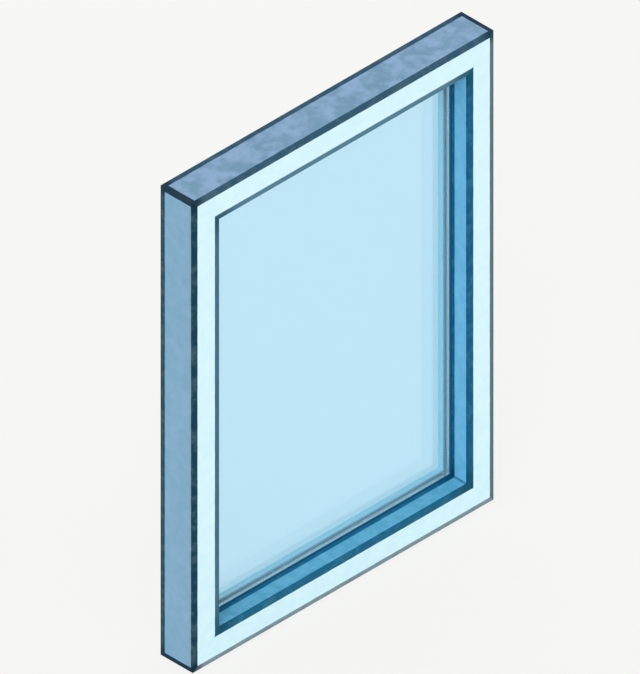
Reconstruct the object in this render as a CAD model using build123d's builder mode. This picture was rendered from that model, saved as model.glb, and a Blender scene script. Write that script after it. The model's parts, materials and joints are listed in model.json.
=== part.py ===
# Fixed window: a white plastic frame of mitred hollow profile, glazed with a sealed double pane.
#
# The plain side of the frame faces the room and looks along -Y. The glass is held against its upstand by
# four snap-in beads on the weather side, +Y. Width runs along X and height along +Z, in millimetres.
# The origin is the middle of the face that the frame stands on.
#
# Every long piece is one section drawn in two coordinates: u, inward from the outer face of the frame,
# and v, backward from its front face. The section is run along a side of the window and mitred at both
# ends, so pieces drawn in one section seat on each other all the way round.
import os

from build123d import *

# Overall sizes
window_width = 740.0
window_height = 1000.0
frame_depth = 82.0
frame_face = 65.0  # outer face to sight line

# Frame profile
outer_wall = 2.8
inner_web = 1.8
slot_wall = 2.0  # plastic round the slots and under the drain channel
arris_radius = 2.5  # visible edges of the frame
nose_radius = 0.8  # edges beside the glass
chamber_radius = 0.6
front_web_setback = 17.0  # front face to the first cross web
rear_web_setback = 8.0  # rear cross web, ahead of the bead
rebate_height = 22.0  # rebate floor to sight line
channel_shoulder = 6.0  # flat of the rebate floor on each side of the drain channel
channel_depth = 2.5

# Glazing
pane_thickness = 4.0
pane_arris = 0.6
cavity = 12.0  # gap between the panes
gasket_thickness = 3.0
edge_clearance = 6.0  # rebate floor to the edge of the glass

# Glazing gaskets: a lip on the glass and a foot in a slot of the plastic
gasket_height = 11.5
gasket_proud = 2.5  # lip above the sight line
gasket_lip_land = 1.6  # flat on the tip of the lip
gasket_slot_drop = 5.0  # sight line to the middle of the slot
gasket_neck_width = 1.8
gasket_neck_depth = 1.4
gasket_head_width = 3.2
gasket_head_depth = 1.8
gasket_fit = 0.1  # gap round the foot of a gasket

# Glazing beads
bead_depth = 16.0  # glass side of a bead to the back of the frame
bead_wall = 1.6
bead_fall = 4.5  # slope of the bead from the glass to the back face
bead_nose_radius = 1.0
bead_back_radius = 2.0
bead_foot_setback = 6.0  # glass side of the bead to the middle of its foot
bead_neck_width = 3.4
bead_neck_depth = 3.5
bead_head_width = 4.4
bead_head_depth = 3.0
bead_fit = 0.2  # gap round the foot of a bead

# Spacer bars, corner keys and edge seal of the sealed unit
seal_depth = 6.0
spacer_height = 7.0
spacer_side = 4.0  # height of the flat that is bonded to each pane
spacer_shoulder = 2.5
spacer_wall = 1.0
key_leg_length = 18.0
key_fit = 0.15

# Blocks between the glass and the rebate floor
setting_block_length = 100.0
setting_block_inset = 110.0  # edge of the glass to the middle of the block
location_block_length = 60.0
location_block_inset = 90.0
block_groove_width = 4.0
block_groove_depth = 1.5
block_set_back = 1.5  # front and back of a block, short of the gaskets' seats

# Drainage of the sill
weep_slot_length = 28.0
weep_slot_height = 5.0
weep_slot_rise = 8.5  # underside of the frame to the middle of the slot
weep_slot_inset = 185.0  # side of the frame to the middle of the slot
channel_slot_inset = 125.0
channel_slot_width = 5.0
cover_length = 44.0
cover_height = 14.0
cover_plate = 1.5
cover_radius = 2.0
hood_length = 34.0
hood_height = 9.0
hood_depth = 4.0
hood_wall = 1.2
cover_leg_width = 1.6
cover_leg_height = 1.8
cover_leg_tip = 1.5  # barbed tip of a leg, behind the wall
cover_barb = 0.5
cover_fit = 0.2

# Places worked out from the sizes above
rebate_floor = frame_face - rebate_height
bead_front = frame_depth - bead_depth
unit_back = bead_front - gasket_thickness
pane_gap_back = unit_back - pane_thickness
pane_gap_front = pane_gap_back - cavity
front_reveal = pane_gap_front - pane_thickness  # front face to glass
upstand_back = front_reveal - gasket_thickness
rear_web = bead_front - rear_web_setback
web_fronts = (front_web_setback, upstand_back - inner_web, rear_web, frame_depth - outer_wall)
web_backs = (outer_wall, *(start + inner_web for start in web_fronts[:-1]))
glass_edge = rebate_floor + edge_clearance
spacer_base = glass_edge + seal_depth
spacer_top = spacer_base + spacer_height
bead_foot_centre = bead_front + bead_foot_setback
gasket_slot_centre = frame_face - gasket_slot_drop
channel_front = upstand_back + channel_shoulder
channel_back = bead_front - channel_shoulder
channel_floor = rebate_floor - channel_depth
block_front = upstand_back + block_set_back
block_back = bead_front - block_set_back

os.makedirs("parts", exist_ok=True)


def side_run(start, inward, along, length):
    """Where the sections of one side are drawn: its plane, in u and v, and the length of the side."""
    return Plane(origin=start, x_dir=inward, z_dir=along), length


half_width = window_width / 2
front = -frame_depth / 2
back = frame_depth / 2
runs = {
    "sill": side_run((half_width, front, 0), (0, 0, 1), (-1, 0, 0), window_width),
    "head": side_run((-half_width, front, window_height), (0, 0, -1), (1, 0, 0), window_width),
    "jamb_left": side_run((-half_width, front, 0), (1, 0, 0), (0, 0, 1), window_height),
    "jamb_right": side_run((half_width, front, window_height), (-1, 0, 0), (0, 0, -1), window_height),
}


def save(piece, name):
    piece.part.label = name
    export_step(piece.part, f"parts/{name}.step")


def cut_mitres(plane, length):
    """Cuts both ends of the bar in the current part at 45 degrees, inward from the frame's corners."""
    first = plane.from_local_coords(Vector(-1, 0, 1)) - plane.origin
    last = plane.from_local_coords(Vector(-1, 0, -1)) - plane.origin
    split(bisect_by=Plane(origin=plane.origin, z_dir=first), keep=Keep.TOP)
    split(bisect_by=Plane(origin=plane.origin + plane.z_dir * length, z_dir=last), keep=Keep.TOP)


def block(low, high, mode=Mode.ADD):
    """A box from its lowest (u, v) corner to its highest, in the current sketch."""
    middle = ((low[0] + high[0]) / 2, (low[1] + high[1]) / 2)
    with Locations(middle):
        Rectangle(high[0] - low[0], high[1] - low[1], mode=mode)


def tee(root, toward, neck, head, gap=0.0, mode=Mode.ADD):
    """A tee-shaped slot, or with a gap the foot that fits it. root is the middle of its mouth, toward the
    way it goes in, and neck and head are a width and a depth each."""
    across = (abs(toward[1]), abs(toward[0]))

    def part_of_tee(width, start, end):
        half = width / 2 - gap
        a = [root[i] + toward[i] * start - across[i] * half for i in (0, 1)]
        b = [root[i] + toward[i] * end + across[i] * half for i in (0, 1)]
        block([min(a[i], b[i]) for i in (0, 1)], [max(a[i], b[i]) for i in (0, 1)], mode=mode)

    part_of_tee(neck[0], 0, neck[1] + gap)
    part_of_tee(head[0], neck[1] + gap, neck[1] + head[1] - gap)


gasket_slot_neck = (gasket_neck_width, gasket_neck_depth)
gasket_slot_head = (gasket_head_width, gasket_head_depth)
bead_slot_neck = (bead_neck_width, bead_neck_depth)
bead_slot_head = (bead_head_width, bead_head_depth)


# Section of the frame: an outline with its slots, less the chambers between its walls and webs
with BuildSketch() as frame_slots:
    block((channel_floor, channel_front), (rebate_floor, channel_back))
    tee((gasket_slot_centre, upstand_back), (0, -1), gasket_slot_neck, gasket_slot_head)
    tee((rebate_floor, bead_foot_centre), (-1, 0), bead_slot_neck, bead_slot_head)

with BuildSketch() as frame_outline:
    block((0, 0), (frame_face, upstand_back))
    block((0, 0), (rebate_floor, frame_depth))
    outer_edges = frame_outline.vertices().group_by(Axis.X)[0]
    upstand_edges = frame_outline.vertices().group_by(Axis.X)[-1].sort_by(Axis.Y)
    fillet([*outer_edges, upstand_edges[0]], radius=arris_radius)
    fillet(frame_outline.vertices().group_by(Axis.X)[-1].sort_by(Axis.Y)[-1], radius=nose_radius)

with BuildSketch() as frame_chambers:
    for start, end in zip(web_backs, web_fronts):
        block((outer_wall, start), (rebate_floor - outer_wall, end))
    for start, end in ((outer_wall, front_web_setback), (web_backs[1], upstand_back - outer_wall)):
        block((rebate_floor, start), (frame_face - outer_wall, end))
    fillet(frame_chambers.vertices(), radius=chamber_radius)
    offset(frame_slots.sketch, amount=slot_wall, mode=Mode.SUBTRACT)

with BuildSketch() as frame_section:
    add(frame_outline.sketch)
    add(frame_slots.sketch, mode=Mode.SUBTRACT)
    add(frame_chambers.sketch, mode=Mode.SUBTRACT)


# Section of the glazing bead: a hollow wedge with a foot that snaps into the rebate floor
with BuildSketch() as bead_outline:
    with BuildLine():
        Polyline(
            (rebate_floor, bead_front),
            (frame_face, bead_front),
            (frame_face - bead_fall, frame_depth),
            (rebate_floor, frame_depth),
            close=True,
        )
    make_face()
    nose = bead_outline.vertices().sort_by(Axis.X)[-1]
    fillet(nose, radius=bead_nose_radius)
    back_edge = bead_outline.vertices().group_by(Axis.Y)[-1].sort_by(Axis.X)[-1]
    fillet(back_edge, radius=bead_back_radius)
    tee((gasket_slot_centre, bead_front), (0, 1), gasket_slot_neck, gasket_slot_head, mode=Mode.SUBTRACT)

with BuildSketch() as bead_section:
    add(bead_outline.sketch)
    offset(bead_outline.sketch, amount=-bead_wall, kind=Kind.INTERSECTION, mode=Mode.SUBTRACT)
    tee((rebate_floor, bead_foot_centre), (-1, 0), bead_slot_neck, bead_slot_head, gap=bead_fit)


def gasket_profile(seat, toward):
    """Section of a gasket between a seat in v and the glass, with its foot towards the seat."""
    glass = seat - toward * gasket_thickness
    tip = frame_face + gasket_proud
    with BuildSketch() as profile:
        with BuildLine():
            Polyline(
                (tip - gasket_height, seat),
                (frame_face, seat),
                (tip, glass + toward * gasket_lip_land),
                (tip, glass),
                (tip - gasket_height, glass),
                close=True,
            )
        make_face()
        tee((gasket_slot_centre, seat), (0, toward), gasket_slot_neck, gasket_slot_head, gap=gasket_fit)
    return profile.sketch


front_gasket_section = gasket_profile(upstand_back, -1)
back_gasket_section = gasket_profile(bead_front, 1)


# Section of the spacer bar, with shoulders that leave room for the edge seal, and of the seal
with BuildSketch() as spacer_outline:
    with BuildLine():
        Polyline(
            (spacer_top, pane_gap_front),
            (spacer_top, pane_gap_back),
            (spacer_top - spacer_side, pane_gap_back),
            (spacer_base, pane_gap_back - spacer_shoulder),
            (spacer_base, pane_gap_front + spacer_shoulder),
            (spacer_top - spacer_side, pane_gap_front),
            close=True,
        )
    make_face()

with BuildSketch() as spacer_bore:
    offset(spacer_outline.sketch, amount=-spacer_wall, kind=Kind.INTERSECTION)

with BuildSketch() as spacer_section:
    add(spacer_outline.sketch)
    add(spacer_bore.sketch, mode=Mode.SUBTRACT)

with BuildSketch() as seal_section:
    block((glass_edge, pane_gap_front), (spacer_top - spacer_side, pane_gap_back))
    add(spacer_outline.sketch, mode=Mode.SUBTRACT)


# The four sides of everything that is mitred: frame, beads, both gaskets and edge seal
mitred_sections = {
    "frame": frame_section.sketch,
    "bead": bead_section.sketch,
    "gasket_front": front_gasket_section,
    "gasket_back": back_gasket_section,
    "edge_seal": seal_section.sketch,
}


# What is cut from the sill so that it drains: slots down from the channel under the glass, and slots
# out through the back wall and the rear web
channel_slot_x = half_width - channel_slot_inset
channel_slot_y = front + (channel_front + rear_web) / 2
weep_slot_x = half_width - weep_slot_inset
with BuildPart() as drain_slots:
    for hand in (-1, 1):
        with BuildSketch(Plane.XY.offset(rebate_floor)):
            with Locations((hand * channel_slot_x, channel_slot_y)):
                SlotOverall(weep_slot_length, channel_slot_width)
        extrude(amount=-(channel_depth + slot_wall + chamber_radius))
        with BuildSketch(Plane.XZ.offset(-back)):
            with Locations((hand * weep_slot_x, weep_slot_rise)):
                SlotOverall(weep_slot_length, weep_slot_height)
        extrude(amount=frame_depth - rear_web + chamber_radius)


for side, (plane, length) in runs.items():
    for family, section in mitred_sections.items():
        with BuildPart() as bar:
            with BuildSketch(plane):
                add(section)
            extrude(amount=length)
            cut_mitres(plane, length)
            if (family, side) == ("frame", "sill"):
                add(drain_slots.part, mode=Mode.SUBTRACT)
        save(bar, f"{family}_{side}")


def pane(name, depth):
    """One sheet of glass, with its front face at a depth behind the front of the frame."""
    with BuildPart() as sheet:
        with BuildSketch(Plane.XZ.offset(-(front + depth))):
            with Locations((0, window_height / 2)):
                Rectangle(window_width - 2 * glass_edge, window_height - 2 * glass_edge)
        extrude(amount=-pane_thickness)
        chamfer(sheet.edges(), length=pane_arris)
    save(sheet, name)


pane("glass_front", front_reveal)
pane("glass_back", pane_gap_back)


# The spacer: four hollow bars cut square, and a key at each corner with a leg in both bars
for side, (plane, length) in runs.items():
    with BuildPart() as spacer_bar:
        with BuildSketch(plane.offset(spacer_top)):
            add(spacer_section.sketch)
        extrude(amount=length - 2 * spacer_top)
    save(spacer_bar, f"spacer_{side}")

corners = {
    "bottom_left": ("sill", "jamb_left"),
    "top_left": ("jamb_left", "head"),
    "top_right": ("head", "jamb_right"),
    "bottom_right": ("jamb_right", "sill"),
}
for corner, (ending, starting) in corners.items():
    end_plane, end_length = runs[ending]
    start_plane, start_length = runs[starting]
    with BuildPart() as corner_key:
        with BuildSketch(end_plane):
            add(spacer_outline.sketch)
        extrude(amount=end_length)
        with BuildSketch(start_plane):
            add(spacer_outline.sketch)
        extrude(amount=start_length, mode=Mode.INTERSECT)
        with BuildSketch(start_plane.offset(spacer_top)):
            offset(spacer_bore.sketch, amount=-key_fit, kind=Kind.INTERSECTION)
        with BuildSketch(end_plane.offset(end_length - spacer_top - key_leg_length)):
            offset(spacer_bore.sketch, amount=-key_fit, kind=Kind.INTERSECTION)
        extrude(amount=key_leg_length)
    save(corner_key, f"spacer_key_{corner}")


def glazing_block(name, side, middle, block_length):
    """A block between the rebate floor and the edge of the glass, with two grooves on its floor side."""
    plane = runs[side][0]
    with BuildPart() as glass_block:
        with BuildSketch(plane.offset(middle - block_length / 2)):
            block((rebate_floor, block_front), (glass_edge, block_back))
            for hand in (-1, 1):
                groove_middle = (block_front + block_back) / 2 + hand * block_groove_width
                low = (rebate_floor, groove_middle - block_groove_width / 2)
                high = (rebate_floor + block_groove_depth, groove_middle + block_groove_width / 2)
                block(low, high, mode=Mode.SUBTRACT)
        extrude(amount=block_length)
    save(glass_block, name)


glazing_block("setting_block_right", "sill", glass_edge + setting_block_inset, setting_block_length)
glazing_block(
    "setting_block_left",
    "sill",
    window_width - glass_edge - setting_block_inset,
    setting_block_length,
)
for side, ends in {
    "jamb_left": ("low", "high"),
    "head": ("left", "right"),
    "jamb_right": ("high", "low"),
}.items():
    first = glass_edge + location_block_inset
    for end, middle in zip(ends, (first, runs[side][1] - first)):
        glazing_block(f"location_block_{side}_{end}", side, middle, location_block_length)


def weep_cover(name, x):
    """A cap on one drain slot of the back face: a plate, a hood that is open below, and two legs."""
    face = Plane(origin=(x, back, weep_slot_rise), x_dir=(-1, 0, 0), z_dir=(0, 1, 0))
    with BuildPart() as cap:
        with BuildSketch(face):
            RectangleRounded(cover_length, cover_height, cover_radius)
        extrude(amount=cover_plate)
        with BuildSketch(face.offset(cover_plate)):
            Rectangle(hood_length, hood_height)
        extrude(amount=hood_depth)
        hood_edges = cap.faces().sort_by(Axis.Y)[-1].edges()
        fillet(hood_edges.sort_by(Axis.Z)[1:], radius=hood_wall)
        with BuildSketch(face.offset(cover_plate)):
            with Locations((0, -hood_wall)):
                Rectangle(hood_length - 2 * hood_wall, hood_height)
        extrude(amount=hood_depth - hood_wall, mode=Mode.SUBTRACT)
        with BuildSketch(face):
            Rectangle(weep_slot_length - 2 * weep_slot_height, weep_slot_height)
        extrude(amount=cover_plate, mode=Mode.SUBTRACT)
        for hand in (-1, 1):
            leg_middle = hand * (weep_slot_length / 2 - cover_fit - cover_leg_width / 2)
            with BuildSketch(face):
                with Locations((leg_middle, 0)):
                    Rectangle(cover_leg_width, cover_leg_height)
            extrude(amount=-(outer_wall + cover_fit + cover_leg_tip))
            with BuildSketch(face.offset(-(outer_wall + cover_fit))):
                with Locations((leg_middle + hand * cover_barb, 0)):
                    Rectangle(cover_leg_width, cover_leg_height)
            extrude(amount=-cover_leg_tip)
    save(cap, name)


weep_cover("weep_cover_left", -weep_slot_x)
weep_cover("weep_cover_right", weep_slot_x)
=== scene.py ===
# The finish of the fixed window, its pale studio and the drawing's viewpoint.
#
# Lengths are in metres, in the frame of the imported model: X across the window, Y from the plain front to
# the beads at the back, Z up. Every pattern is worked out from the place of a point on the window.
import json
import math

import bpy
from mathutils import Matrix, Vector


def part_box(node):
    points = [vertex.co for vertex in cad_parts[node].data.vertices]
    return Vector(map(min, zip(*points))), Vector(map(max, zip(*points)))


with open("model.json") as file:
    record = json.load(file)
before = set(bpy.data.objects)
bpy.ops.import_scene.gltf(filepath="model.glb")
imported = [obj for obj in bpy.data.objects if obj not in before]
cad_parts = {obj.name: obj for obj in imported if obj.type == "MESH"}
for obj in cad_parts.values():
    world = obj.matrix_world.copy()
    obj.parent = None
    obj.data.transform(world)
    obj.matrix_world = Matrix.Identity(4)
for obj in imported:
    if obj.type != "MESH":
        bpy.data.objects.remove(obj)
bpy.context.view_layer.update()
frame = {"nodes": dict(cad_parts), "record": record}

MM = 0.001

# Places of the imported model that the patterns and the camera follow
SILL_LOW, SILL_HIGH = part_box("frame_sill")
HALF_WIDTH = SILL_HIGH.x
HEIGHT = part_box("frame_head")[1].z
FRONT = SILL_LOW.y
BACK = SILL_HIGH.y
FACE = SILL_HIGH.z  # outside of the frame to the edge of its opening
BEAD_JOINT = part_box("setting_block_left")[0].z  # outside of the frame to the rebate and its beads
GLASS_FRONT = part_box("glass_front")[0].y
CAVITY_MIDDLE = sum(corner.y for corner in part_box("spacer_sill")) / 2

# The picture, in its own pixels
PICTURE_WIDTH = 640
PICTURE_HEIGHT = 674
NEAR_CORNER_PIXEL = (193.3, 673.5)  # front left bottom corner of the window
HEIGHT_PIXELS = 469.35  # an upright edge of the window
AZIMUTH = math.radians(-45)
ELEVATION = math.atan(math.sqrt(0.5))  # a true isometric
CAMERA_DISTANCE = 6.0

# Widths of the dark edges, on each surface that meets there
FACE_LINE = 10.5 * MM  # on the front, round its outside and round the opening
# painted shade: the dark band round the opening is wider at its right and sill, where the reveal is in
# shade, than at its lit left and head
LIT_EXTRA = 1.5 * MM  # added to that at the left and the head of the opening
SHADED_EXTRA = 3.5 * MM  # added to that at the right and the sill of the opening
BACK_FACE_LINE = 6 * MM  # on the back, round its outside
FRONT_LINE = 6 * MM  # on the sides, along the front
BACK_LINE = 12 * MM  # on the sides, along the back
END_LINE = 9 * MM  # on each side, where it meets the next one
REVEAL_LINE = 4 * MM  # in the reveal, along the front
GLASS_LINE = 11 * MM  # from the glass, over the end of the reveal
CORNER_LINE = 3.2 * MM  # in the corners of the reveal
BEAD_LINE = 6 * MM  # on the back of the beads, round the opening
JOINT_LINE = 1.2 * MM  # along the joint between frame and bead
SEAM_LINE = 0.4 * MM  # weld seams and bead mitres
BEAD_SLOPE = 4.5 * MM  # edge of the opening to the back edge of the beads
LINE_WANDER = 1.4 * MM  # how far a dark edge strays from a ruled one
CORNER_REACH = 30 * MM  # how far from an outer corner its ink is darker
OPENING_REACH = 60 * MM  # how far from a corner of the opening its ink is darker

# Shares of ink, from 0 to 1
CORNER_LINE_SHARE = 0.45  # in the corners of the reveal
FADE_SHARE = 0.35  # of a paler ink, in patches of the dark edges
DEEP_SHARE = 0.7  # of a darker ink, at the outer corners
POOL_SHARE = 0.65  # of a darker ink, at the corners of the opening
SEAM_SHARE = 0.2  # on the weld seams of the frame
FINE_SHARE = 0.8  # on the joints and mitres of the beads
# painted shade: the holes are dark spots for the shaded hollow inside the bar
HOLE_SHADE_SHARE = 0.7  # in the holes of the spacer bars

# Sizes of the patterns
CLOUDS = (38 * MM, 16 * MM)  # large and small patches on the frame
BEAD_CLOUDS = (45 * MM, 13 * MM)
FADE_SIZE = 16 * MM
SATIN_SIZE = 35 * MM
GRAIN_SIZE = 1.4 * MM
GRAIN_DEPTH = 0.02 * MM
RUBBER_GRAIN_SIZE = 0.9 * MM
WAVE_LENGTH = 220 * MM  # in the panes
WAVE_DEPTH = 0.2 * MM
HOLE_PITCH = 7 * MM
HOLE_RADIUS = 0.7 * MM


def paint(red, green, blue):
    """A colour given as a screen shows it, 0 to 255, as the shader's linear one."""

    def linear(value):
        value /= 255
        return value / 12.92 if value <= 0.04045 else ((value + 0.055) / 1.055) ** 2.4

    return (linear(red), linear(green), linear(blue), 1.0)


# Colours of the frame and its dark edges
ICE = paint(217, 249, 255)
ICE_SHADE = paint(207, 240, 254)
# painted shade: the slate sides, the slate and periwinkle top and the blue reveal are darker, shaded
# copies of the ice plastic of the front
SIDE_SHADE_SLATE = paint(114, 160, 188)
SIDE_SHADE_GREEN = paint(122, 158, 170)
TOP_SHADE_SLATE = paint(108, 148, 178)
SHADE_PERIWINKLE = paint(148, 179, 217)
REVEAL_SHADE = paint(106, 187, 230)
SILL_REVEAL_SHADE = paint(92, 176, 212)
REVEAL_SHADE_PALE = paint(126, 204, 242)
# painted shade: the sill's reveal is darker and more teal than the others
REVEAL_SHADES = {"left": REVEAL_SHADE, "right": REVEAL_SHADE, "sill": SILL_REVEAL_SHADE, "head": REVEAL_SHADE}
INK = paint(16, 60, 78)
INK_DEEP = paint(10, 36, 54)
INK_BLUE = paint(14, 90, 128)
INK_TEAL = paint(66, 108, 128)
INK_GREY = paint(90, 114, 122)
INK_SKY = paint(64, 128, 158)
INK_POOL = paint(4, 68, 88)

# Inks of the dark edges: on the sides, round the front, round the opening and in the reveal
SIDE_INKS = {"left": paint(34, 74, 94), "right": INK, "sill": INK, "head": paint(48, 82, 106)}
OUTER_INKS = {"left": INK, "right": INK_GREY, "sill": paint(128, 148, 156), "head": paint(46, 84, 108)}
# painted shade: the inks round the opening are darker at its right and sill, where the reveal is in shade,
# and paler at its left and head
OPENING_INKS_AND_SHADE = {
    "left": INK_TEAL,
    "right": INK_BLUE,
    "sill": paint(28, 98, 130),
    "head": paint(86, 124, 144),
}
REVEAL_INKS = {
    "left": INK_BLUE,
    "right": paint(15, 96, 138),
    "sill": paint(26, 106, 148),
    "head": INK_BLUE,
}

# Colours of the smaller pieces, the glass and the ground
RUBBER_DARK = paint(4, 88, 130)
RUBBER_PALE = paint(248, 252, 254)
SILICONE = {"subsurface_weight": 1.0, "subsurface_radius": (1.0, 1.0, 1.0), "subsurface_scale": 6 * MM}
ALUMINIUM = (0.86, 0.88, 0.89, 1.0)
ALUMINIUM_DULL = (0.72, 0.75, 0.77, 1.0)
KEY_GREY = paint(186, 214, 230)
SEAL_DARK = paint(52, 60, 66)
BLOCK_BLUE = paint(80, 150, 200)
COVER_SLATE = paint(150, 190, 214)
BACKDROP = paint(247, 247, 245)
WHITE = (1.0, 1.0, 1.0, 1.0)
PANE_TINT = (0.714, 0.9, 0.982, 1.0)
SURFACE_TINT = tuple(math.sqrt(value) for value in PANE_TINT)  # a lamp ray meets two surfaces in a pane
PANE_CLEARNESS = 0.985  # the rest is a faint haze on each surface

# Specular levels
GLOSS = 0.3
INK_GLOSS = 0.04
RUBBER_GLOSS = 0.2

# Light
WORLD_LIGHT = 0.82
LAMP_STRENGTH = 1.0
LAMP_TOWARD = Vector((-0.72, -0.48, 0.62))
LAMP_SOFTNESS = math.radians(35)
FLOOR_GLOW = 0.85  # share of the floor that only shows its own colour, and takes no shadow
FLOOR_HALF = 8.0
FLOOR_DROP = 0.2 * MM  # keeps the floor clear of the underside of the sill


class Nodes:
    """A node tree that is being built. Each call adds a node, and takes sockets or plain values."""

    def __init__(self, tree, output):
        self.nodes, self.links = tree.nodes, tree.links
        self.nodes.clear()
        self.output = self.nodes.new(output)

    def feed(self, socket, value):
        if isinstance(value, bpy.types.NodeSocket):
            self.links.new(value, socket)
        else:
            socket.default_value = value

    def calculate(self, operation, *values):
        node = self.nodes.new("ShaderNodeMath")
        node.operation = operation
        for socket, value in zip(node.inputs, values):
            self.feed(socket, value)
        return node.outputs[0]

    def add(self, first, second):
        return self.calculate("ADD", first, second)

    def subtract(self, first, second):
        return self.calculate("SUBTRACT", first, second)

    def multiply(self, first, second):
        return self.calculate("MULTIPLY", first, second)

    def least(self, first, second):
        return self.calculate("MINIMUM", first, second)

    def most(self, first, *others):
        for other in others:
            first = self.calculate("MAXIMUM", first, other)
        return first

    def apart(self, first, second):
        """How far two values are from each other."""
        return self.calculate("ABSOLUTE", self.subtract(first, second))

    def opposite(self, share):
        return self.subtract(1.0, share)

    def smooth(self, value, low, high, start=0.0, end=1.0):
        """start where value is low or less, end where it is high or more, and an even turn between."""
        node = self.nodes.new("ShaderNodeMapRange")
        node.interpolation_type = "SMOOTHSTEP"
        for name, given in {
            "Value": value,
            "From Min": low,
            "From Max": high,
            "To Min": start,
            "To Max": end,
        }.items():
            self.feed(node.inputs[name], given)
        return node.outputs["Result"]

    def choose(self, share, first, second):
        """The first number where share is 0, the second where it is 1."""
        node = self.nodes.new("ShaderNodeMix")
        for socket, value in zip((node.inputs[0], node.inputs[2], node.inputs[3]), (share, first, second)):
            self.feed(socket, value)
        return node.outputs[0]

    def blend(self, share, first, second):
        """The first colour where share is 0, the second where it is 1."""
        node = self.nodes.new("ShaderNodeMix")
        node.data_type = "RGBA"
        for socket, value in zip((node.inputs[0], node.inputs[6], node.inputs[7]), (share, first, second)):
            self.feed(socket, value)
        return node.outputs[2]

    def mix_shaders(self, share, first, second):
        node = self.nodes.new("ShaderNodeMixShader")
        for socket, value in zip(node.inputs, (share, first, second)):
            self.feed(socket, value)
        return node.outputs[0]

    def shader(self, kind, **values):
        """A shader node, with its sockets set from values that are named as the sockets are."""
        node = self.nodes.new(kind)
        for name, value in values.items():
            self.feed(node.inputs[name.replace("_", " ").title().replace("Ior", "IOR")], value)
        return node.outputs[0]

    def ground(self):
        """1 for a ray that shows the ground itself, and the ground's colour: white through glass."""
        rays = self.nodes.new("ShaderNodeLightPath").outputs
        through = rays["Is Transmission Ray"]
        seen = self.most(rays["Is Camera Ray"], rays["Is Glossy Ray"], through)
        return seen, self.blend(through, BACKDROP, WHITE)

    def show(self, shader):
        self.links.new(shader, self.output.inputs["Surface"])


class Finish(Nodes):
    """A material, with what it knows of the place of a point on the window."""

    def __init__(self, name):
        self.material = bpy.data.materials.new(name)
        self.material.use_nodes = True
        super().__init__(self.material.node_tree, "ShaderNodeOutputMaterial")
        self.place = self.nodes.new("ShaderNodeTexCoord").outputs["Object"]
        self.x, self.y, self.z = self.parts(self.place)
        facing = self.parts(self.nodes.new("ShaderNodeNewGeometry").outputs["Normal"])
        facing_y, facing_z = (self.calculate("ABSOLUTE", facing[axis]) for axis in (1, 2))
        self.is_face = self.smooth(facing_y, 0.4, 0.6)  # 1 on what faces the front or the back
        self.is_level = self.smooth(facing_z, 0.4, 0.6)

        self.to_side = self.subtract(HALF_WIDTH, self.calculate("ABSOLUTE", self.x))
        self.to_end = self.least(self.z, self.subtract(HEIGHT, self.z))
        self.to_outside = self.least(self.to_side, self.to_end)
        self.from_corner = self.most(self.to_side, self.to_end)
        self.to_front = self.subtract(self.y, FRONT)
        self.to_back = self.subtract(BACK, self.y)

        self.on_jamb = self.smooth(self.subtract(self.to_end, self.to_side), -MM, MM)
        self.on_right = self.smooth(self.x, -MM, MM)
        self.on_low = self.smooth(self.z, HEIGHT / 2 - MM, HEIGHT / 2 + MM, 1.0, 0.0)

    def parts(self, vector):
        node = self.nodes.new("ShaderNodeSeparateXYZ")
        self.feed(node.inputs[0], vector)
        return node.outputs

    def noise(self, size, detail=2.0, roughness=0.5):
        """Soft noise from 0 to 1, with lumps of about the given size."""
        node = self.nodes.new("ShaderNodeTexNoise")
        self.feed(node.inputs["Vector"], self.place)
        node.inputs["Scale"].default_value = 1 / size
        node.inputs["Detail"].default_value = detail
        node.inputs["Roughness"].default_value = roughness
        return node.outputs["Fac"]

    def line(self, distance, width, softness=0.6 * MM):
        """1 on an edge, and 0 past the line's width from it."""
        return self.smooth(distance, width - softness, width + softness, 1.0, 0.0)

    def hairline(self, distance, width):
        return self.line(distance, width / 2, width / 4)

    def seam(self):
        """1 on the mitres, from the corners of the frame to those of the opening."""
        return self.hairline(self.apart(self.to_side, self.to_end), SEAM_LINE)

    def around(self, colours):
        """The colour of the side of the window that a point is on."""
        jambs = self.blend(self.on_right, colours["left"], colours["right"])
        others = self.blend(self.on_low, colours["head"], colours["sill"])
        return self.blend(self.on_jamb, others, jambs)

    def grain(self, under=None):
        """The slight orange peel of moulded plastic."""
        return self.bump(self.noise(GRAIN_SIZE), GRAIN_DEPTH, 0.5, under)

    def bump(self, height, distance, strength=1.0, under=None):
        node = self.nodes.new("ShaderNodeBump")
        node.inputs["Strength"].default_value = strength
        node.inputs["Distance"].default_value = distance
        self.feed(node.inputs["Height"], height)
        if under is not None:
            self.feed(node.inputs["Normal"], under)
        return node.outputs["Normal"]

    def plastic(self, colour, roughness, specular, normal, **others):
        self.show(
            self.shader(
                "ShaderNodeBsdfPrincipled",
                base_color=colour,
                roughness=roughness,
                specular_ior_level=specular,
                normal=normal,
                **others,
            )
        )
        return self.material

    def satin(self, low, high):
        """Roughness of moulded plastic, a little uneven."""
        return self.smooth(self.noise(SATIN_SIZE, 3.0), 0.3, 0.7, low, high)


def mottle(f, large, small):
    """Soft cloudy patches with specks in them, from 0 to 1."""
    both = f.add(f.noise(large, 1.5), f.noise(small, 1.0))
    return f.smooth(f.multiply(both, 0.5), 0.36, 0.64)


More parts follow.
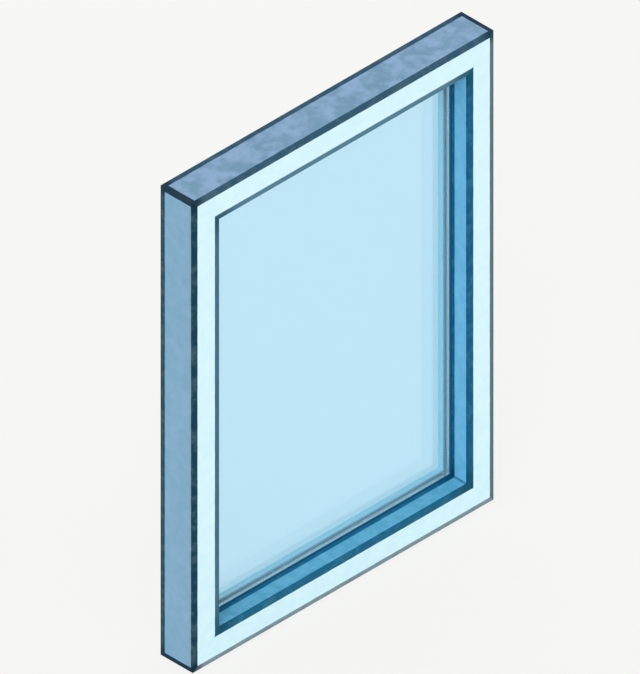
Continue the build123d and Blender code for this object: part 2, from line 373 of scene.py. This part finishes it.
def frame_colour_and_painted_shade(f):
    """Ice on the front and back, and painted shade elsewhere: slate on the sides, periwinkle clouds on
    top, mid blue in the reveal.
    """
    clouds = mottle(f, *CLOUDS)
    # painted shade on the sides, the top and in the reveal, chosen by which way each surface faces
    beside_front = f.smooth(f.to_front, 0.0, 32 * MM, 0.6, 0.0)
    side = f.blend(beside_front, SIDE_SHADE_SLATE, SIDE_SHADE_GREEN)
    side = f.blend(f.multiply(clouds, 0.25), side, SHADE_PERIWINKLE)
    top = f.blend(f.multiply(clouds, 0.65), TOP_SHADE_SLATE, SHADE_PERIWINKLE)
    ice = f.blend(f.multiply(clouds, 0.5), ICE, ICE_SHADE)
    reveal = f.blend(f.multiply(clouds, 0.5), f.around(REVEAL_SHADES), REVEAL_SHADE_PALE)
    is_outside = f.smooth(f.to_outside, 4 * MM, 8 * MM, 1.0, 0.0)
    turned_shade = f.blend(is_outside, reveal, f.blend(f.is_level, side, top))
    return f.blend(f.is_face, turned_shade, ice), is_outside


def frame_edges(f, is_outside):
    """Where the dark edges of the frame lie: those of its outside, and those of its opening."""
    stray = f.multiply(f.subtract(f.noise(22 * MM, 3.0), 0.5), LINE_WANDER)

    def line(distance, width):
        return f.line(f.add(distance, stray), width)

    on_front = f.smooth(f.y, -MM, MM, 1.0, 0.0)
    round_face = f.choose(on_front, line(f.to_outside, BACK_FACE_LINE), line(f.to_outside, FACE_LINE))
    on_sides = f.most(
        line(f.to_front, FRONT_LINE),
        line(f.to_back, BACK_LINE),
        line(f.from_corner, END_LINE),
    )
    outside = f.choose(f.is_face, f.multiply(on_sides, is_outside), round_face)

    before_glass = f.smooth(f.y, GLASS_FRONT - MM, GLASS_FRONT + MM, 1.0, 0.0)
    # painted shade: a wider dark band at the right and the sill of the opening
    shaded = f.choose(f.on_jamb, f.on_low, f.on_right)
    from_opening = f.subtract(f.apart(f.to_outside, FACE), f.choose(shaded, LIT_EXTRA, SHADED_EXTRA))
    round_opening = f.multiply(line(from_opening, FACE_LINE), before_glass)
    in_reveal = f.most(
        line(f.to_front, REVEAL_LINE),
        line(f.apart(f.y, GLASS_FRONT), GLASS_LINE),
        f.multiply(line(f.subtract(f.from_corner, FACE), CORNER_LINE), CORNER_LINE_SHARE),
    )
    opening = f.choose(f.is_face, f.multiply(in_reveal, f.opposite(is_outside)), round_opening)
    return outside, opening


def frame_inks(f):
    """The inks of the outer edges and of the opening's: paler in patches, and darker at the corners; round
    the opening they are darker at the right and the sill, as painted shade.
    """
    fade = f.smooth(f.noise(FADE_SIZE, 2.0), 0.42, 0.72, 0.0, FADE_SHARE)

    of_front = f.smooth(f.to_front, 3 * MM, 5 * MM, 1.0, 0.0)
    outer = f.blend(of_front, f.around(SIDE_INKS), f.around(OUTER_INKS))
    corner = f.smooth(f.from_corner, CORNER_REACH / 3, CORNER_REACH, DEEP_SHARE, 0.0)
    corner = f.multiply(corner, f.opposite(f.multiply(f.on_right, f.on_low)))  # not the low right one
    outer = f.blend(corner, f.blend(fade, outer, INK_GREY), INK_DEEP)

    # painted shade: darker inks at the right and the sill of the opening
    inner = f.blend(f.is_face, f.around(REVEAL_INKS), f.around(OPENING_INKS_AND_SHADE))
    corner = f.smooth(f.from_corner, FACE, FACE + OPENING_REACH, POOL_SHARE, 0.0)
    inner = f.blend(corner, f.blend(fade, inner, INK_SKY), INK_POOL)
    return outer, inner


def frame_finish():
    """Satin plastic with painted shade on its sides and in its reveal, and dark matt edges, which differ a
    little from side to side; round the opening they are darker and wider at the right and the sill, as
    painted shade.
    """
    f = Finish("frame_plastic_painted_shade")
    colour, is_outside = frame_colour_and_painted_shade(f)
    outside, opening = frame_edges(f, is_outside)
    outer_ink, opening_ink = frame_inks(f)
    inked = f.most(outside, opening)
    seam = f.multiply(f.seam(), f.opposite(inked))
    colour = f.blend(f.multiply(seam, SEAM_SHARE), colour, INK_TEAL)
    colour = f.blend(opening, colour, opening_ink)
    colour = f.blend(outside, colour, outer_ink)
    groove = f.bump(f.opposite(seam), 0.1 * MM)
    gloss = f.choose(inked, GLOSS, INK_GLOSS)
    return f.plastic(colour, f.satin(0.34, 0.46), gloss, f.grain(groove))


def bead_finish():
    """The frame's plastic, with a dark back edge and hairlines at the joint and on the mitres."""
    f = Finish("bead_plastic")
    colour = f.blend(f.multiply(mottle(f, *BEAD_CLOUDS), 0.5), ICE, ICE_SHADE)
    joint = f.line(f.apart(f.to_outside, BEAD_JOINT), JOINT_LINE)
    back_edge = f.line(f.apart(f.to_outside, FACE - BEAD_SLOPE), BEAD_LINE)
    round_opening = f.multiply(back_edge, f.is_face)
    fine = f.most(joint, f.seam())
    colour = f.blend(f.multiply(fine, FINE_SHARE), colour, INK_TEAL)
    colour = f.blend(round_opening, colour, INK_BLUE)
    groove = f.bump(f.opposite(fine), 0.2 * MM)
    gloss = f.choose(round_opening, GLOSS, INK_GLOSS)
    return f.plastic(colour, f.satin(0.32, 0.44), gloss, f.grain(groove))


def rubber_finish(name, colour, **others):
    """Matt gasket rubber with a fine grain."""
    f = Finish(name)
    grain = f.noise(RUBBER_GRAIN_SIZE, 3.0, 0.6)
    darker = tuple(0.8 * value for value in colour[:3]) + (1.0,)
    shade = f.blend(grain, colour, darker)
    normal = f.bump(grain, 0.03 * MM, 0.6)
    return f.plastic(shade, f.satin(0.55, 0.7), RUBBER_GLOSS, normal, **others)


def glass_finish():
    """Float glass with a blue body tint and slight waves. Light from the lamps passes through it."""
    f = Finish("tinted_glass")
    glass = f.shader(
        "ShaderNodeBsdfPrincipled",
        base_color=PANE_TINT,
        roughness=0.0,
        ior=1.5,
        transmission_weight=PANE_CLEARNESS,
        normal=f.bump(f.noise(WAVE_LENGTH, 1.0), WAVE_DEPTH, 0.3),
    )
    clear = f.shader("ShaderNodeBsdfTransparent", color=SURFACE_TINT)
    lamp_ray = f.nodes.new("ShaderNodeLightPath").outputs["Is Shadow Ray"]
    f.show(f.mix_shaders(lamp_ray, glass, clear))
    return f.material


def spacer_finish():
    """Satin aluminium bar with a row of breathing holes along the middle, each a dark spot of painted
    shade for the hollow inside the bar.
    """
    f = Finish("spacer_bar")
    along = f.choose(f.on_jamb, f.x, f.z)
    from_hole = f.calculate("PINGPONG", along, HOLE_PITCH / 2)
    from_middle = f.apart(f.y, CAVITY_MIDDLE)
    distance = f.calculate(
        "SQRT", f.add(f.multiply(from_hole, from_hole), f.multiply(from_middle, from_middle))
    )
    # painted shade: each hole is a dark spot for the shaded hollow inside the bar
    hole = f.line(distance, HOLE_RADIUS, 0.2 * MM)
    shade = f.blend(f.noise(4 * MM, 3.0), ALUMINIUM, ALUMINIUM_DULL)
    pressed = f.bump(f.opposite(hole), 0.3 * MM)
    f.show(
        f.shader(
            "ShaderNodeBsdfPrincipled",
            base_color=f.blend(f.multiply(hole, HOLE_SHADE_SHARE), shade, INK),
            metallic=1.0,
            roughness=f.satin(0.26, 0.36),
            normal=f.bump(f.noise(0.8 * MM), 0.01 * MM, 0.4, pressed),
        )
    )
    return f.material


def plain_finish(name, colour, roughness):
    """A moulded or run-in material of nearly one colour, with a fine grain."""
    f = Finish(name)
    darker = tuple(0.85 * value for value in colour[:3]) + (1.0,)
    shade = f.blend(f.noise(3 * MM, 3.0), colour, darker)
    normal = f.bump(f.noise(1.0 * MM), 0.02 * MM, 0.5)
    return f.plastic(shade, f.satin(roughness - 0.05, roughness + 0.05), GLOSS, normal)


def dress():
    """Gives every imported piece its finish, by the material slot that the record names for it."""
    finishes = {
        "frame": frame_finish(),
        "bead": bead_finish(),
        "gasket_front": rubber_finish("front_gasket_rubber", RUBBER_DARK),
        "gasket_back": rubber_finish("back_gasket_rubber", RUBBER_PALE, **SILICONE),
        "glass": glass_finish(),
        "spacer": spacer_finish(),
        "spacer_key": plain_finish("spacer_key_plastic", KEY_GREY, 0.5),
        "edge_seal": plain_finish("edge_sealant", SEAL_DARK, 0.6),
        "glazing_block": plain_finish("block_plastic", BLOCK_BLUE, 0.5),
        "weep_cover": plain_finish("cover_plastic", COVER_SLATE, 0.4),
    }
    slots = {part["node"]: part["material_slot"] for part in frame["record"]["subparts"]}
    for name, piece in frame["nodes"].items():
        for place in piece.material_slots:
            place.material = finishes[slots[name]]


def lay_floor():
    """A wide pale floor that shows the window's soft shadow on a plain ground."""
    mesh = bpy.data.meshes.new("floor")
    corners = [(FLOOR_HALF * x, FLOOR_HALF * y, 0) for x, y in ((-1, -1), (1, -1), (1, 1), (-1, 1))]
    mesh.from_pydata(corners, [], [(0, 1, 2, 3)])
    floor = bpy.data.objects.new("floor", mesh)
    floor.location.z = -FLOOR_DROP
    bpy.context.collection.objects.link(floor)
    f = Finish("floor_ground")
    seen, colour = f.ground()
    matt = f.shader("ShaderNodeBsdfDiffuse", color=BACKDROP)
    glow = f.shader("ShaderNodeEmission", color=colour)
    f.show(f.mix_shaders(f.multiply(seen, FLOOR_GLOW), matt, glow))
    mesh.materials.append(f.material)


def light():
    """An even pale surround and one broad soft lamp from the front, the left and above."""
    world = bpy.data.worlds.new("studio")
    bpy.context.scene.world = world
    world.use_nodes = True
    w = Nodes(world.node_tree, "ShaderNodeOutputWorld")
    lit = w.shader("ShaderNodeBackground", color=WHITE, strength=WORLD_LIGHT)
    seen, colour = w.ground()
    shown = w.shader("ShaderNodeBackground", color=colour)
    w.show(w.mix_shaders(seen, lit, shown))

    sun = bpy.data.lights.new("lamp", "SUN")
    sun.energy = LAMP_STRENGTH
    sun.angle = LAMP_SOFTNESS
    lamp = bpy.data.objects.new("lamp", sun)
    lamp.rotation_euler = LAMP_TOWARD.to_track_quat("Z", "Y").to_euler()
    bpy.context.collection.objects.link(lamp)


def place_camera():
    """A parallel camera at the drawing's angle, with the near corner of the window on its pixel."""
    away = Vector(
        (
            math.sin(AZIMUTH) * math.cos(ELEVATION),
            -math.cos(AZIMUTH) * math.cos(ELEVATION),
            math.sin(ELEVATION),
        )
    )
    turn = away.to_track_quat("Z", "Y")
    right = turn @ Vector((1, 0, 0))
    up = turn @ Vector((0, 1, 0))
    pixels_per_metre = HEIGHT_PIXELS / HEIGHT / math.cos(ELEVATION)
    near_corner = Vector((-HALF_WIDTH, FRONT, 0))
    aim = (
        near_corner
        + right * ((PICTURE_WIDTH / 2 - NEAR_CORNER_PIXEL[0]) / pixels_per_metre)
        + up * ((NEAR_CORNER_PIXEL[1] - PICTURE_HEIGHT / 2) / pixels_per_metre)
    )
    lens = bpy.data.cameras.new("camera")
    lens.type = "ORTHO"
    lens.ortho_scale = PICTURE_HEIGHT / pixels_per_metre
    camera = bpy.data.objects.new("camera", lens)
    camera.matrix_world = Matrix.Translation(aim + away * CAMERA_DISTANCE) @ turn.to_matrix().to_4x4()
    bpy.context.collection.objects.link(camera)
    bpy.context.scene.camera = camera


dress()
lay_floor()
light()
place_camera()
bpy.context.scene.view_settings.view_transform = "Standard"
